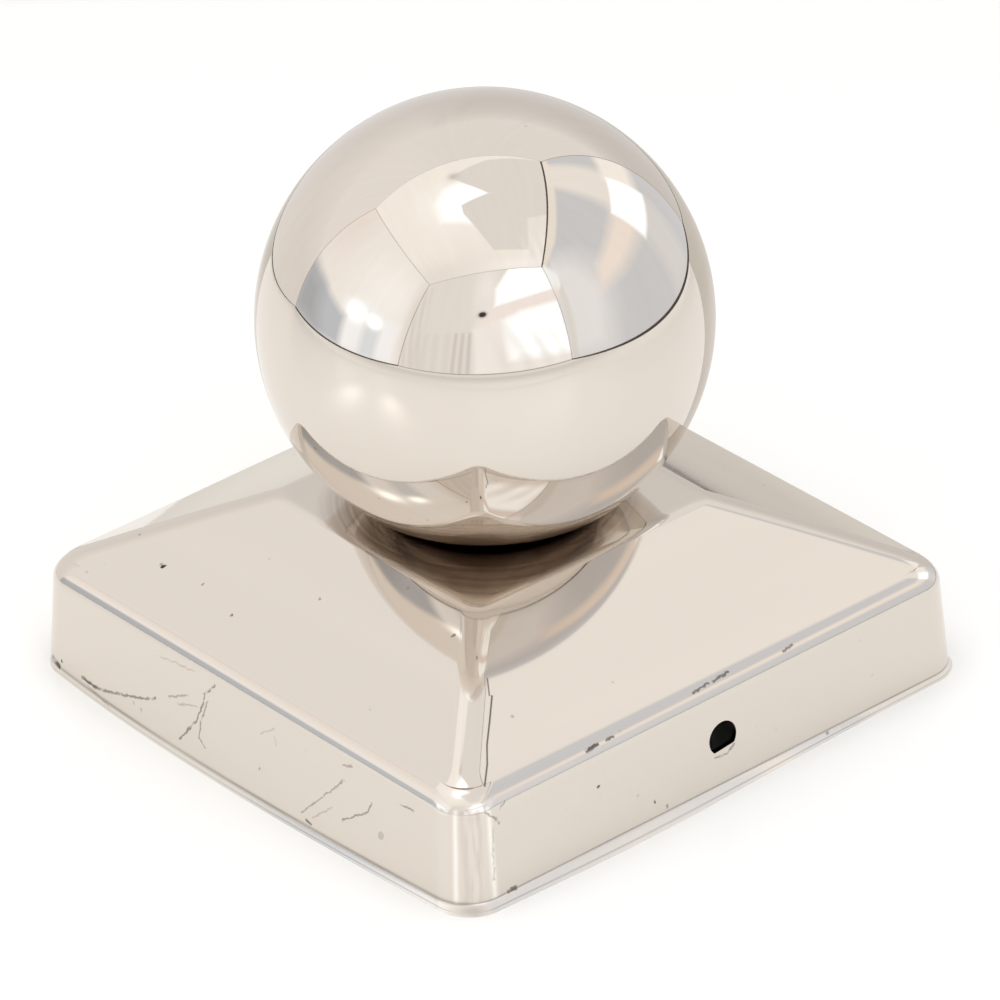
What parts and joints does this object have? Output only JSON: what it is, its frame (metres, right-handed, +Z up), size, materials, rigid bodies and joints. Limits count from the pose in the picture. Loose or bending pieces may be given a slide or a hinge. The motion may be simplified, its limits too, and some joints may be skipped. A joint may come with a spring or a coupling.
{
  "type": "ball post cap",
  "caption": "Square pressed stainless-steel hood with a low pyramid roof and a polished ball on its flat top, made to cover the end of a timber post.",
  "frame": {"origin": "middle of the underside, in the plane of the rim that the hood stands on", "axes": "+Z up through the ball, +X and +Y square to the skirt's sides; the screw holes are in the +X and -X sides"},
  "size_m": [0.098, 0.098, 0.0883],
  "materials": {
    "hood_steel": "bright polished stainless-steel sheet, lightly scuffed, with fine scratches and a few pits",
    "ball_steel": "mirror-polished stainless steel"
  },
  "bodies": {
    "root": {"hood": "hood_steel", "ball": "ball_steel"}
  },
  "joints": []
}
